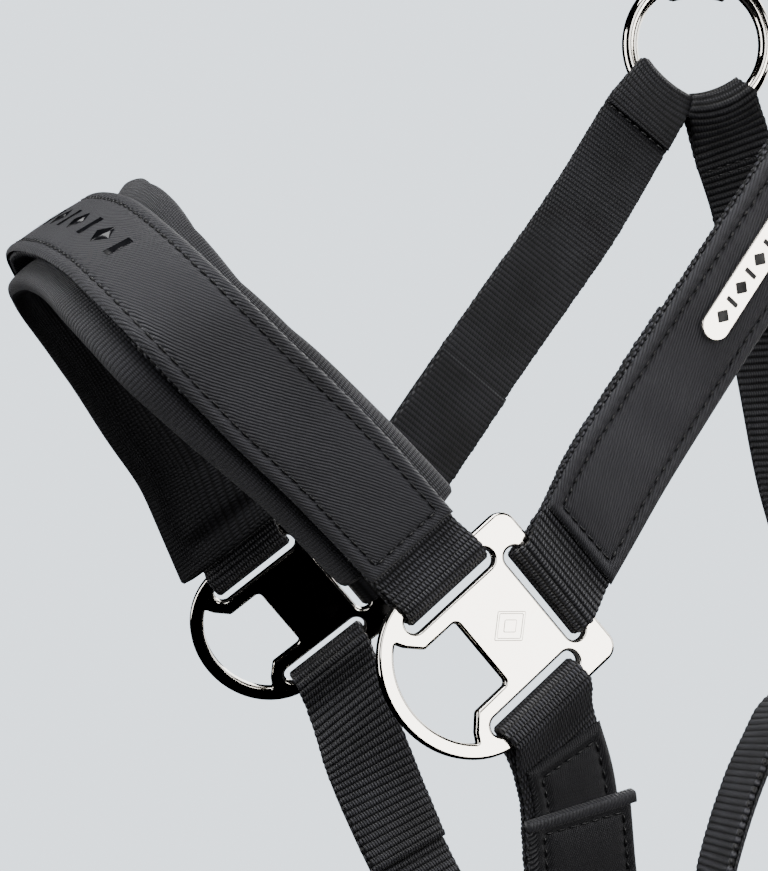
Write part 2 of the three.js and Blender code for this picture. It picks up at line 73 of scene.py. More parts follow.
class Nodes:
    """Short calls for building a node tree."""

    def __init__(self, tree):
        self.tree = tree

    def add(self, kind, **props):
        n = self.tree.nodes.new(kind)
        for k, v in props.items():
            setattr(n, k, v)
        return n

    def link(self, a, b):
        self.tree.links.new(a, b)

    def math(self, op, a, b=None):
        n = self.add("ShaderNodeMath", operation=op)
        for i, x in enumerate((a, b)):
            if isinstance(x, (int, float)):
                n.inputs[i].default_value = x
            elif x is not None:
                self.link(x, n.inputs[i])
        return n.outputs[0]

    def uv(self):
        sep = self.add("ShaderNodeSeparateXYZ")
        self.link(self.add("ShaderNodeUVMap", uv_map="mm").outputs[0], sep.inputs[0])
        return sep.outputs[0], sep.outputs[1]

    def noise(self, scale, detail=2.0):
        n = self.add("ShaderNodeTexNoise")
        n.inputs["Scale"].default_value = scale
        n.inputs["Detail"].default_value = detail
        self.link(self.add("ShaderNodeTexCoord").outputs["Object"], n.inputs["Vector"])
        return n.outputs["Fac"]

    def ramp(self, fac, stops):
        n = self.add("ShaderNodeValToRGB")
        while len(n.color_ramp.elements) < len(stops):
            n.color_ramp.elements.new(0.5)
        for e, (at, c) in zip(n.color_ramp.elements, stops):
            e.position = at
            e.color = (*c, 1)
        self.link(fac, n.inputs[0])
        return n.outputs[0]

    def bump(self, height, distance, strength, bsdf):
        n = self.add("ShaderNodeBump")
        n.inputs["Distance"].default_value = distance
        n.inputs["Strength"].default_value = strength
        self.link(height, n.inputs["Height"])
        self.link(n.outputs[0], bsdf.inputs["Normal"])

    def paint_shading(self, painted_shading, color, stops, bsdf):
        """Paints light and shade into the base colour: as the shading goes from 0 to 1, stops are (shading,
        times color).
        """
        self.link(self.ramp(painted_shading, [(at, mul(color, k)) for at, k in stops]), bsdf.inputs["Base Color"])

    def uneven(self, fac, roughness, low, high, bsdf):
        """Roughness that wanders from low to high times its mean."""
        stops = [(0.3, (roughness * low,) * 3), (0.7, (roughness * high,) * 3)]
        self.link(self.ramp(fac, stops), bsdf.inputs["Roughness"])


def mul(c, k):
    return tuple(x * k for x in c)


def webbing_material(name, color, bead=0.85, coarse=1.0):
    """Nylon webbing: warp yarns stand up as beads on each rib, half a step over from rib to rib."""
    m, n, bsdf = new_material(name, color, 0.42, Sheen_Weight=0.06, Sheen_Roughness=0.5)
    bsdf.inputs["Specular IOR Level"].default_value = 0.42 * coarse
    rib, x = n.uv()  # along the strap in ribs, across it in millimetres
    shift = n.math("MULTIPLY", n.math("FLOOR", rib), 0.5)
    yarn = n.math("ADD", n.math("DIVIDE", x, bead), shift)
    beads = n.math("ABSOLUTE", n.math("SINE", n.math("MULTIPLY", yarn, math.pi)))
    across = n.math("ABSOLUTE", n.math("SINE", n.math("MULTIPLY", rib, math.pi)))
    height = n.math("MULTIPLY", n.math("POWER", beads, 0.8 * coarse), n.math("POWER", across, 0.6))
    fuzz = n.noise(2600, 2)
    n.bump(n.math("ADD", height, n.math("MULTIPLY", fuzz, 0.1)), 0.00045 * coarse, 0.9, bsdf)
    # Painted shading: the colour is lighter on the tops of the beads (painted highlight) and darker in the
    # gaps between beads and ribs (painted shade), times a broad noise that varies the tone at random.
    painted_shading = n.math("MULTIPLY", n.math("ADD", height, 0.05), n.math("ADD", n.noise(70, 2), 0.4))
    n.paint_shading(painted_shading, color, [(0.0, 0.05), (0.4, 0.6), (1.0, 4.0)], bsdf)
    return m


def facing_material(name, color, angle, pitch=0.55, sheen=0.16):
    """Satin twill: fine diagonal lines that catch the light, through bumps and a painted highlight along each
    line.
    """
    m, n, bsdf = new_material(name, color, 0.55, Sheen_Weight=sheen, Sheen_Roughness=0.4)
    bsdf.inputs["Specular IOR Level"].default_value = 0.4
    s, x = n.uv()
    wobble = n.math("MULTIPLY", n.noise(250, 2), 0.5)
    along = n.math("MULTIPLY", s, math.cos(angle) / pitch)
    line = n.math("ADD", along, n.math("MULTIPLY", x, math.sin(angle) / pitch))
    twill = n.math("ABSOLUTE", n.math("SINE", n.math("MULTIPLY", n.math("ADD", line, wobble), math.pi)))
    cross = n.math("ABSOLUTE", n.math("SINE", n.math("MULTIPLY", s, math.pi / 0.4)))
    height = n.math("ADD", twill, n.math("MULTIPLY", cross, 0.25))
    n.bump(n.math("ADD", height, n.math("MULTIPLY", n.noise(1500, 2), 0.5)), 0.0002, 0.9, bsdf)
    # Painted shading: the colour is lighter along the twill lines (painted highlight) and darker between them
    # (painted shade), times a broad noise that varies the tone at random.
    painted_shading = n.math("MULTIPLY", n.math("ADD", twill, 0.5), n.math("ADD", n.noise(35, 3), 0.35))
    n.paint_shading(painted_shading, color, [(0.1, 0.4), (0.55, 1), (1.0, 2.0)], bsdf)
    return m


def knit_material(name, color, sheen=0.2):
    """Fine warp knit over foam: a grid of tiny loops."""
    m, n, bsdf = new_material(name, color, 0.75, Sheen_Weight=sheen, Sheen_Roughness=0.5)
    bsdf.inputs["Specular IOR Level"].default_value = 0.25
    s, x = n.uv()
    a = n.math("ABSOLUTE", n.math("SINE", n.math("MULTIPLY", s, math.pi / 1.05)))
    b = n.math("ABSOLUTE", n.math("SINE", n.math("MULTIPLY", x, math.pi / 0.8)))
    loops = n.math("MULTIPLY", a, b)
    n.bump(n.math("ADD", loops, n.math("MULTIPLY", n.noise(1200, 2), 0.3)), 0.00032, 0.9, bsdf)
    # Painted shading: the colour is lighter on the tops of the knit loops (painted highlight) and darker
    # between them (painted shade), times a broad noise that varies the tone at random.
    painted_shading = n.math("MULTIPLY", n.math("ADD", loops, 0.35), n.math("ADD", n.noise(40, 2), 0.4))
    n.paint_shading(painted_shading, color, [(0.05, 0.15), (0.45, 1), (1.0, 3.0)], bsdf)
    return m


def nickel_material(name, color=(0.93, 0.89, 0.82), roughness=0.07):
    """Polished nickel with faint polishing marks and a slightly uneven cast surface."""
    m, n, bsdf = new_material(name, color, roughness, 1.0)
    n.uneven(n.noise(180, 4), roughness, 0.6, 1.8, bsdf)
    n.bump(n.noise(55, 1), 0.0004, 0.06, bsdf)
    return m


def thread_material(name, color):
    m, n, bsdf = new_material(name, color, 0.33)
    n.bump(n.noise(2500, 2), 0.0001, 0.5, bsdf)
    return m


def plain_gloss(name, color, roughness):
    """Enamel or ink: smooth, with a little unevenness in its gloss."""
    m, n, bsdf = new_material(name, color, roughness)
    n.uneven(n.noise(400, 3), roughness, 0.7, 1.4, bsdf)
    return m


BLACK = (0.0148, 0.0150, 0.0182)
WEB_MAT = webbing_material("ribbed_webbing", BLACK)
# A darker, duller copy of the ribbed webbing, for the off cheekpiece and the throat strap: painted shade.
WEB_SHADED = webbing_material("fine_ribbed_webbing", mul(BLACK, 0.36), bead=0.9, coarse=0.45)
FACE_MAT = facing_material("twill_facing", mul(BLACK, 1.15), math.radians(62), pitch=0.68)
CHEEK_MAT = facing_material("satin_facing", mul(BLACK, 1.1), math.radians(74), pitch=0.68)
TAPE_MAT = facing_material("grosgrain_tape", mul(BLACK, 0.9), math.radians(20), pitch=0.9)
KNIT_MAT = knit_material("padded_knit", mul(BLACK, 1.1))
LINING_MAT = knit_material("black_lining", mul(BLACK, 0.35), sheen=0.0)
TAB_MAT = facing_material("dark_twill", mul(BLACK, 0.5), math.radians(62), sheen=0.05)
THREAD_MAT = thread_material("thread", mul(BLACK, 0.4))
NICKEL = nickel_material("polished_nickel")
ENAMEL = plain_gloss("black_enamel", mul(BLACK, 0.3), 0.55)
PRINT = plain_gloss("glossy_print", mul(BLACK, 0.6), 0.18)
SKY, SKY_POWER = (0.638, 0.708, 0.774), 2.78


# ---- Curves and frames along a strap ---------------------------------------------------------
def catmull(points, t):
    """A centripetal Catmull-Rom curve through points, at t from 0 to 1."""
    pts = np.asarray(points, float)
    last = len(pts) - 1
    p = t * last
    i = min(int(p), last - 1)
    f = p - i
    p0 = pts[i - 1] if i > 0 else 2 * pts[0] - pts[1]
    p1, p2 = pts[i], pts[i + 1]
    p3 = pts[i + 2] if i + 2 <= last else 2 * pts[last] - pts[last - 1]
    d = [max(np.linalg.norm(b - a), 0) ** 0.5 for a, b in ((p0, p1), (p1, p2), (p2, p3))]
    d1 = d[1] if d[1] > 1e-4 else 1
    d0 = d[0] if d[0] > 1e-4 else d1
    d2 = d[2] if d[2] > 1e-4 else d1
    m1 = ((p1 - p0) / d0 - (p2 - p0) / (d0 + d1) + (p2 - p1) / d1) * d1
    m2 = ((p2 - p1) / d1 - (p3 - p1) / (d1 + d2) + (p3 - p2) / d2) * d1
    c2 = -3 * p1 + 3 * p2 - 2 * m1 - m2
    c3 = 2 * p1 - 2 * p2 + m1 + m2
    return p1 + m1 * f + c2 * f * f + c3 * f ** 3


class Track:
    """Points, width directions, face normals and widths along a strap, in order. bow is how strongly the
    strap follows a ring's curve there: its edges lie back along over, as the wire does."""

    def __init__(self, p, w, n, width, bow=None, over=None):
        self.p, self.w, self.n = (np.asarray(a, float) for a in (p, w, n))
        self.width = np.asarray(width, float)
        self.bow = np.zeros((len(self.p), 3)) if bow is None else np.asarray(bow, float)
        if self.bow.ndim == 1:
            self.bow = self.bow[:, None] * over

    def __len__(self):
        return len(self.p)

    def cut(self, a, b):
        return Track(self.p[a:b], self.w[a:b], self.n[a:b], self.width[a:b], self.bow[a:b])

    def back(self):
        return Track(self.p[::-1], self.w[::-1], -self.n[::-1], self.width[::-1], self.bow[::-1])

    def flipped(self):
        return Track(self.p, self.w, -self.n, self.width, self.bow)

    def lift(self, distance):
        return Track(self.p + self.n * distance, self.w, self.n, self.width, self.bow)

    def surface(self, x, h):
        """Points x across and h above each section: [sections, around, 3]."""
        return self.p[:, None] + x[..., None] * self.w[:, None] + h[..., None] * self.n[:, None]

    def join(self, *others):
        parts = [self, *others]
        return Track(*(np.concatenate([getattr(t, k) for t in parts]) for k in TRACK_PARTS))

    def length(self):
        return np.concatenate([[0], np.cumsum(np.linalg.norm(np.diff(self.p, axis=0), axis=1))])

    def resample(self, step):
        s = self.length()
        keep = np.concatenate([[True], np.diff(s) > 1e-6])
        s, src = s[keep], [getattr(self, k)[keep] for k in TRACK_PARTS]
        at = np.linspace(0, s[-1], max(2, int(round(s[-1] / step)) + 1))
        out = []
        for a in src:
            a2 = a if a.ndim == 2 else a[:, None]
            v = np.stack([np.interp(at, s, a2[:, k]) for k in range(a2.shape[1])], 1)
            out.append(v if a.ndim == 2 else v[:, 0])
        p, w, n, width, bow = out
        n = n / np.linalg.norm(n, axis=1)[:, None]
        w = w - n * (w * n).sum(1)[:, None]
        return Track(p, w / np.linalg.norm(w, axis=1)[:, None], n, width, bow)


TRACK_PARTS = ("p", "w", "n", "width", "bow")


def centre_line(knots, out):
    """The smooth line through [(point, width direction)] in steps of about 1 mm. Its face normals are turned
    towards out at the start."""
    ts = np.linspace(0, 1, 600)
    p = np.array([catmull([k[0] for k in knots], t) for t in ts])
    w = np.array([catmull([k[1] for k in knots], t) for t in ts])
    s = np.concatenate([[0], np.cumsum(np.linalg.norm(np.diff(p, axis=0), axis=1))])
    at = np.linspace(0, s[-1], int(s[-1]) + 1)
    p, w = (np.stack([np.interp(at, s, a[:, k]) for k in range(3)], 1) for a in (p, w))
    t = np.gradient(p, axis=0)
    t /= np.linalg.norm(t, axis=1)[:, None]
    inward = np.clip(np.minimum(at, at[-1] - at) / SHEAR, 0, 1)
    inward = inward * inward * (3 - 2 * inward)
    w /= np.linalg.norm(w, axis=1)[:, None]
    w -= t * ((w * t).sum(1) * inward)[:, None]
    w /= np.linalg.norm(w, axis=1)[:, None]
    n = np.cross(t, w)
    n /= np.linalg.norm(n, axis=1)[:, None]
    if n[0] @ out < 0:
        n = -n
    return Track(p, w, n, np.full(len(p), 2 * WEB_HALF))


class Fold:
    """One end of a doubled strap, folded round a bar or a ring's wire that runs along w. Its two layers
    leave along e at radius from the bar and then close up. It is pinched where it lies on the bar, and bow
    is how far its edges follow the wire's curve."""

    def __init__(self, at, w, out, radius, e, straight=0.0, close=9.0, pinch=25.0, mouth=25.0, bow=0.0):
        over = unit(*(e - w * (w @ e)))
        face = np.cross(w, over)
        face = -face if face @ out < 0 else face
        self.at, self.e, self.out, self.w, self.reach = at, e, face, w, straight + close
        turn = np.linspace(-math.pi / 2, math.pi / 2, ARC_STEPS)
        n = -np.cos(turn)[:, None] * over + np.sin(turn)[:, None] * face
        width = pinch + (mouth - pinch) * (1 - np.cos(turn))
        along = np.tile(w, (ARC_STEPS, 1))
        self.arc = Track(at + n * radius, along, n, width, np.full(ARC_STEPS, bow), over)
        f = np.linspace(0, 1, LAYER_STEPS)
        ease = f * f * (3 - 2 * f)
        height = radius + (HALF - radius) * ease
        self.layers = []
        for side in (1, -1):
            q = at + (straight + close * f)[:, None] * e + (side * height)[:, None] * face
            width = mouth + (2 * WEB_HALF - mouth) * ease
            same = [np.tile(a, (LAYER_STEPS, 1)) for a in (w, face)]
            self.layers.append(Track(q, *same, width, bow * (1 - ease), over))
        self.outer, self.inner = self.layers

    def leaving(self, *distances):
        """Knots this far out from where the fold's layers have closed up."""
        return [(self.at + self.e * (self.reach + d), self.w) for d in distances]


def fold_to(bar, knot):
    """The fold of a strap round a bar, on its way to a knot."""
    bar = dict(bar)
    if bar["w"] @ knot[1] < 0:
        bar["w"] = -bar["w"]
    bar.setdefault("e", unit(*(knot[0] - bar["at"])))
    bar.pop("stiff", None)
    return Fold(**bar)


def doubled(line, start, end, tails):
    """The path of a strap's one length of webbing, from the end of one tail to the end of the other."""
    inner = line.lift(-HALF)
    out = line.lift(HALF)
    parts = []
    if start:
        parts += [inner.cut(0, tails[0]).back(), start.inner.back(), start.arc, start.outer]
    parts.append(out)
    if end:
        turned = lambda t: t.back().flipped()
        parts += [turned(end.outer), turned(end.arc), end.inner.flipped()]
        tail = inner.cut(len(inner) - tails[1], len(inner))
        parts.append(tail.back())
    return parts[0].join(*parts[1:])


# ---- Meshes ----------------------------------------------------------------------------------
def make_mesh(name, verts, faces, uvs, material, body="straps"):
    mesh = bpy.data.meshes.new(name)
    mesh.from_pydata(ROW(verts).tolist(), [], faces)
    layer = mesh.uv_layers.new(name="mm")
    if uvs is not None:
        loops = np.zeros(len(mesh.loops), np.int32)
        mesh.loops.foreach_get("vertex_index", loops)
        layer.data.foreach_set("uv", np.asarray(uvs, np.float32)[loops].ravel())
    mesh.materials.append(material)
    mesh.update()
    o = bpy.data.objects.new(name, mesh)
    bpy.context.scene.collection.objects.link(o)
    mesh.polygons.foreach_set("use_smooth", [True] * len(mesh.polygons))
    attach(o, body)
    return o


def loft(name, rings, uvs, material, body="straps"):
    """A closed body through equal closed rings of points [sections, around, 3], capped at both ends."""
    s, k, _ = rings.shape
    i, j = np.meshgrid(np.arange(s - 1), np.arange(k), indexing="ij")
    jn = (j + 1) % k
    quads = np.stack([i * k + j, i * k + jn, (i + 1) * k + jn, (i + 1) * k + j], -1).reshape(-1, 4)
    faces = quads.tolist() + [list(range(k))[::-1], list(range((s - 1) * k, s * k))]
    return make_mesh(name, rings.reshape(-1, 3), faces, uvs.reshape(-1, 2), material, body)


def uv_grid(s, x):
    """Texture coordinates in millimetres: s along the sections and x around them."""
    return np.stack(np.meshgrid(s, x, indexing="ij"), -1)


def outline(half, thick):
    """A strap's cross-section: [x across, height, 1 on the top and bottom faces]."""
    corner = 0.55
    xs = np.linspace(-1, 1, 11)
    top = [(x * (half - corner), thick / 2, 1.0) for x in xs]
    cut = corner * 0.3
    side = [(half - cut, thick / 2 - cut, 0.4), (half, 0, 0.0), (half - cut, -thick / 2 + cut, 0.4)]
    bottom = [(-x * (half - corner), -thick / 2, 1.0) for x in xs]
    other = [(-x, -h, f) for x, h, f in side]
    return np.array(top + side + bottom + other)


def webbing(name, path, material=WEB_MAT, thick=1.75, body="straps", ribs=0.22, node=None, rib=RIB):
    """Ribbed webbing along a path: every rib is real, and the selvedges step with the ribs."""
    path = path.resample(rib / 6)
    s = path.length()
    shape = outline(WEB_HALF, thick)
    phase = np.abs(np.sin(s / rib * math.pi)) ** 0.8
    rng = np.random.default_rng(len(s))
    fray = np.repeat(rng.normal(0, 0.06, len(s) // 6 + 2), 6)[: len(s)]
    half = path.width / 2 - 0.25 + 0.22 * phase + fray
    x = (shape[:, 0] / WEB_HALF)[None, :] * half[:, None]
    h = shape[:, 1][None, :] + (np.sign(shape[:, 1]) * shape[:, 2])[None, :] * (phase - 0.6)[:, None] * ribs
    h *= np.clip(np.minimum(s, s[-1] - s) / 1.5, 0.4, 1)[:, None]  # heat-sealed ends
    rings = path.surface(x, h)
    rings += (np.sqrt(RING ** 2 - np.clip(np.abs(x), 0, 12) ** 2) - RING)[..., None] * path.bow[:, None]
    uvs = np.stack([np.broadcast_to(s[:, None] / rib, x.shape), x], -1)
    o = loft(name, rings, uvs, material, body)
    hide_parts(node or name)
    return o


def squared(line, amount):
    """A track whose width directions are turned, by amount from 0 to 1, square to its own direction."""
    t = np.gradient(line.p, axis=0)
    t /= np.linalg.norm(t, axis=1)[:, None]
    w = line.w - t * ((line.w * t).sum(1) * amount)[:, None]
    return Track(line.p, w / np.linalg.norm(w, axis=1)[:, None], line.n, line.width, line.bow)


def facing(name, line, half, material=FACE_MAT, base=0.0, thick=1.15, shift=0.0):
    """Fabric sewn on the outside of a strap: folded edges, and a sunk row of stitches all the way round. base
    raises it over another facing, and shift moves it across the strap."""
    line = line.resample(0.8)
    s = line.length()
    total = s[-1]
    rim = np.linspace(0, 1.1, 4)
    xs = np.concatenate([rim - half, np.linspace(-half + 1.6, half - 1.6, 29), half - rim[::-1]])
    edge_x = half - np.abs(xs)
    edge_s = np.minimum(s, total - s)
    d = np.minimum(edge_x[None, :], edge_s[:, None])
    rng = np.random.default_rng(int(total * 7))
    rise = 1 - np.exp(-d / 0.55)
    groove = np.exp(-(((d - HEM) / 0.7) ** 2))
    pucker = 0.16 * np.sin(s / STITCH * 2 * math.pi)[:, None] * np.exp(-(((d - HEM) / 1.6) ** 2))
    dome = 0.35 * np.clip((d - HEM) / 5, 0, 1) ** 0.7
    slow = np.cumsum(rng.normal(0, 0.02, len(s)))
    slow -= np.linspace(slow[0], slow[-1], len(s))
    roll = 0.25 * (d < HEM) * np.sin(np.clip(d / HEM, 0, 1) * math.pi)
    top = thick * rise + roll - 0.55 * groove + pucker + dome
    lift = FACING_AT - 0.55 + base
    creases = sum(rng.uniform(0.03, 0.09) * np.sin(s / w + rng.uniform(0, 6)) for w in (2.3, 3.7, 5.9))
    top = top + (half < WEB_HALF) * creases[:, None] * np.clip((d - HEM) / 3, 0, 1)
    wave = 0.18 * np.sin(s / 17 + rng.uniform(0, 6)) + 0.1 * slow
    wide = (half + wave)[:, None] / half
    x = (xs + shift)[None, :] * wide
    up, low = line.surface(x, lift + top), line.surface(x, np.full(x.shape, lift))
    rings = np.concatenate([up, low[:, ::-1]], 1)
    o = loft(name, rings, uv_grid(s, np.concatenate([xs, xs[::-1]])), material)
    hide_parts(name)
    sew(name + "_stitches", line, half, HEM, lift + thick + 0.02, shift)


def tape_edge(name, line, half, base, thick, shift):
    """A folded tape over the end of a facing, with rounded edges and its own ribs across the strap."""
    line = line.resample(0.5)
    s = line.length()
    turn = np.linspace(0, 2 * math.pi, 25)[:-1]
    xs = np.linspace(-half - 0.35, half + 0.35, int(half * 4))
    low = FACING_AT - 0.6 + base
    total = s[-1] + 0.8
    power = lambda c: np.sign(c) * np.abs(c) ** 0.55
    along = total / 2 - 0.8 + power(np.cos(turn)) * total / 2
    high = low + thick / 2 + 0.1 + power(np.sin(turn)) * (thick / 2 + 0.3)
    before = np.minimum(along, 0)[:, None] * unit(*(line.p[1] - line.p[0]))
    rings = []
    for k, x in enumerate(xs):
        rib = 0.05 if k % 2 else -0.05
        ring = place(line, np.clip(along, 0, s[-1]), np.full(len(turn), x + shift), high + rib)
        rings.append(ring + before)
    o = loft(name, np.array(rings), uv_grid(xs, along), TAPE_MAT)


def place(line, s, x, h):
    """Points at length s, offset x across and height h of a resampled track."""
    at = line.length()
    pick = lambda a: np.stack([np.interp(s, at, a[:, k]) for k in range(3)], 1)
    return pick(line.p) + x[:, None] * pick(line.w) + h[:, None] * pick(line.n)


def sew(name, line, half, hem, height, shift=0.0, rows=None, side=1):
    """Thread lying in the groove round the whole edge, or along rows of (start, end)."""
    total = line.length()[-1]
    a, b = half - hem, hem
    corners = [(b, shift - a), (total - b, shift - a), (total - b, shift + a), (b, shift + a), (b, shift - a)]
    pieces = []
    for (s0, x0), (s1, x1) in rows or zip(corners, corners[1:]):
        length = math.hypot(s1 - s0, x1 - x0)
        count = max(1, round(length / STITCH))
        for i in range(count):
            f0, f1 = (i + 0.1) / count, (i + 0.86) / count
            pieces.append([(s0 + (s1 - s0) * f, x0 + (x1 - x0) * f) for f in (f0, f1)])
    threads(name, line, np.array(pieces), height, side)


def threads(name, line, pieces, height, side):
    """One small capsule of thread for each stitch, its ends dipping into the fabric."""
    radius = 0.3
    rng = np.random.default_rng(len(pieces))
    n, rings, around = len(pieces), 5, 6
    f = np.linspace(0, 1, rings)
    bulge = np.array([0.35, 0.9, 1.0, 0.9, 0.35])
    dip = np.array([-0.32, -0.06, 0.0, -0.06, -0.32]) * side
    jitter = rng.normal(0, 0.05, (n, 1))
    s = pieces[:, :1, 0] * (1 - f) + pieces[:, 1:, 0] * f
    x = pieces[:, :1, 1] * (1 - f) + pieces[:, 1:, 1] * f + jitter
    h = np.broadcast_to(height + dip, (n, rings)) + rng.normal(0, 0.04, (n, 1))
    centre = place(line, s.ravel(), x.ravel(), h.ravel()).reshape(n, rings, 3)
    t = centre[:, -1] - centre[:, 0]
    t /= np.linalg.norm(t, axis=1)[:, None]
    nrm = place(line, s[:, 2], x[:, 2], h[:, 2] + 1) - place(line, s[:, 2], x[:, 2], h[:, 2])
    beside = np.cross(t, nrm)
    turn = (np.arange(around) / around * 2 * math.pi)[None, None, :, None]
    offset = np.cos(turn) * beside[:, None, None] + np.sin(turn) * nrm[:, None, None]
    verts = centre[:, :, None] + offset * (radius * bulge)[None, :, None, None]
    faces = []
    for p in range(n):
        o = p * rings * around
        for i in range(rings - 1):
            a, b = o + i * around, o + (i + 1) * around
            for j in range(around):
                k = (j + 1) % around
                faces.append([a + j, b + j, b + k, a + k])
        faces.append([o + j for j in range(around)])
        faces.append([o + (rings - 1) * around + j for j in range(around)][::-1])
    make_mesh(name, verts.reshape(-1, 3), faces, None, THREAD_MAT)


def settle(mesh, sewn):
    """A short cloth simulation: the foam presses the cover out between the vertices where it is sewn down,
    and the cover keeps that shape."""
    most, last_frame = 0.0012, 20  # the furthest that a vertex moves, in metres, and the length of the run
    copy = bpy.data.objects.new("cover", mesh.copy())
    scene = bpy.context.scene
    scene.collection.objects.link(copy)
    copy.vertex_groups.new(name="sewn").add([int(k) for k in np.flatnonzero(sewn)], 1.0, "REPLACE")
    cloth = copy.modifiers.new("cloth", "CLOTH")
    fabric = cloth.settings
    fabric.quality, fabric.mass = 6, 0.15
    fabric.use_pressure, fabric.uniform_pressure_force = True, 40
    fabric.vertex_group_mass = "sewn"
    fabric.effector_weights.gravity = 0
    cloth.collision_settings.use_collision = False
    cloth.point_cache.frame_start, cloth.point_cache.frame_end = 1, last_frame
    for k in range(1, last_frame + 1):
        scene.frame_set(k)
    done = copy.evaluated_get(bpy.context.evaluated_depsgraph_get()).data
    before, after = (np.zeros(len(mesh.vertices) * 3) for _ in range(2))
    mesh.vertices.foreach_get("co", before)
    done.vertices.foreach_get("co", after)
    move = (after - before).reshape(-1, 3)
    far = np.linalg.norm(move, axis=1)[:, None]
    move *= np.minimum(1, most / np.maximum(far, 1e-9))
    mesh.vertices.foreach_set("co", before + move.ravel())
    mesh.update()
    spare = copy.data
    bpy.data.objects.remove(copy)
    bpy.data.meshes.remove(spare)
    scene.frame_set(1)


def pad(name, line, fit=((20.5, 0.0), (20.5, 0.0)), rise=0.9, flare=0.0, beyond=None):
    """A foam pad in fine knit, rounded over at its edges, with a sewn channel round its black lining. fit
    gives half its width and how far up it sits, from end to end; rise fills the room up to the strap's
    webbing, and beyond carries the pad on past the strap's last layer and away from its fold."""
    if beyond is not None:
        count, away = 6, 2.4
        steps = np.arange(1, count + 1)[:, None]
        p = line.p[-1] + beyond * steps - line.n[-1] * away * (steps / count) * (steps / count)
        same = [np.tile(a[-1], (count, 1)) for a in (line.w, line.n)]
        line = line.join(Track(p, *same, np.full(count, 2 * WEB_HALF)))
    line = line.resample(2.2)
    s = line.length()
    total = s[-1]
    turn = np.linspace(0, 2 * math.pi, 49)[:-1]
    power = lambda c, k: np.sign(c) * np.abs(c) ** k
    end = np.clip(np.minimum(s, total - s) / 7, 0, 1)
    rounding = np.sqrt(1 - (1 - end) ** 2)
    round_end = rounding * 0.28 + 0.72
    at = np.linspace(0, 1, len(fit))
    half, aside = (np.interp(s / total, at, [f[k] for f in fit])[:, None] for k in (0, 1))
    x = power(np.cos(turn), 0.62)[None, :] * (half * (0.93 + 0.07 * round_end[:, None]))
    h = power(np.sin(turn), 0.75)[None, :] * (PAD_THICK / 2 * np.maximum(rounding, 0.35))[:, None]
    h = h + rise * np.clip(np.sin(turn) / 0.4, 0, 1)[None, :]
    inside = (np.sin(turn) < -0.2)[None, :]
    channel = half - 6.5
    edge = np.minimum(channel - np.abs(x), (np.minimum(s, total - s) - 9)[:, None])
    h = h + inside * (1.6 * np.exp(-((edge / 1.0) ** 2)) - 0.9 * (edge > 0))
    # Over the crest of the nose the pad's free edges spring away from the strap's curve.
    crest = np.exp(-(((s / total - 0.5) / 0.2) ** 2))[:, None]
    h = h + flare * crest * np.clip((x / half - 0.55) / 0.45, 0, 1) ** 1.4
    x = x + aside
    rings = line.surface(x, h - PAD_AT)[:, ::-1]
    around = (turn * 20.5 / 1.6)[::-1]
    o = loft(name, rings, uv_grid(s, around), KNIT_MAT)
    o.data.materials.append(LINING_MAT)
    lined = np.tile(np.sin(turn[::-1]) < -0.25, len(s) - 1).astype(int).tolist() + [0, 0]
    o.data.polygons.foreach_set("material_index", lined)
    under = (np.sin(turn) > 0.2)[None, :] & (np.abs(x - aside) < WEB_HALF)
    settle(o.data, (under | (inside & (np.abs(edge) < 1.2)))[:, ::-1].ravel())
    sub = o.modifiers.new("smooth", "SUBSURF")
    sub.levels = sub.render_levels = 1
    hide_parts(name)


# ---- Layout, as in the CAD source -----------------------------------------------------------------
NEAR_PLATE = (V(0, -62, 0), unit(0.767, -0.055, 0.64), unit(0.623, -0.154, -0.77))
OFF_PLATE = (V(0, 62, 0), unit(0.693, -0.384, 0.62), unit(0.67, 0.0225, -0.74))
NEAR_RING = (V(129, -84, 188), unit(-0.28, -0.96, 0))
OFF_RING = (V(149.5, 82, 173), unit(0.38, 0.925, 0))
CHIN_RING = (V(60, 0, -118), unit(0.33, 0, -0.94))
NEAR_SIDE, OFF_SIDE = -ACROSS, ACROSS
BOW = 3.8  # width of the plate's bow round the D opening


def plate_bar(plate, which, out):
    at, a, b = plate
    s, t = {"nose": (3.3, -20.3), "chin": (3.3, 20.3), "cheek": (24.85, 0)}[which]
    return {"at": at + a * s + b * t, "w": b if which == "cheek" else a, "out": out, "radius": 3.9}


def ring_bar(ring, way):
    at, out = ring
    w = unit(*np.cross(out, way))
    return {"at": at + way * (RING - 0.9), "w": w, "out": out, "radius": 5.0, "close": 13.0,
            "pinch": 16.0, "mouth": 22.5, "bow": 0.8}


def unit_in(ring, x, z):
    """The direction in a ring's plane that goes x forwards and z up."""
    out = ring[1]
    back = V(-out[1], out[0], 0)
    return unit(*((-back if back[0] < 0 else back) * x + UP * z))


def knots(*rows):
    return [(V(x, y, z), V(*w)) for x, y, z, w in rows]


def strap_line(start, middle, end):
    """The centre line of a strap from bar to bar, with its two folds."""
    first, last = fold_to(start, middle[0]), fold_to(end, middle[-1])
    stiff = end.get("stiff")
    ends = last.leaving(1 + stiff, 1) if stiff else last.leaving(1)
    return centre_line(first.leaving(1) + middle + ends, first.out), first, last


# ---- Metal --------------------------------------------------------------------------------------
def arc(cx, cy, rx, ry, a0, a1, count=16):
    """Points on an ellipse from a0 to a1, in half turns."""
    turn = np.linspace(a0, a1, count)
    return [(cx + rx * math.cos(t * math.pi), cy + ry * math.sin(t * math.pi)) for t in turn]


def stadium(cx, cy, length, width, upright=False):
    """The outline of a slot or bar with round ends."""
    r, h = width / 2, length / 2 - width / 2
    pts = arc(h, 0, r, r, -0.5, 0.5) + arc(-h, 0, r, r, 0.5, 1.5)
    return [(cx - y, cy + x) if upright else (cx + x, cy + y) for x, y in pts]


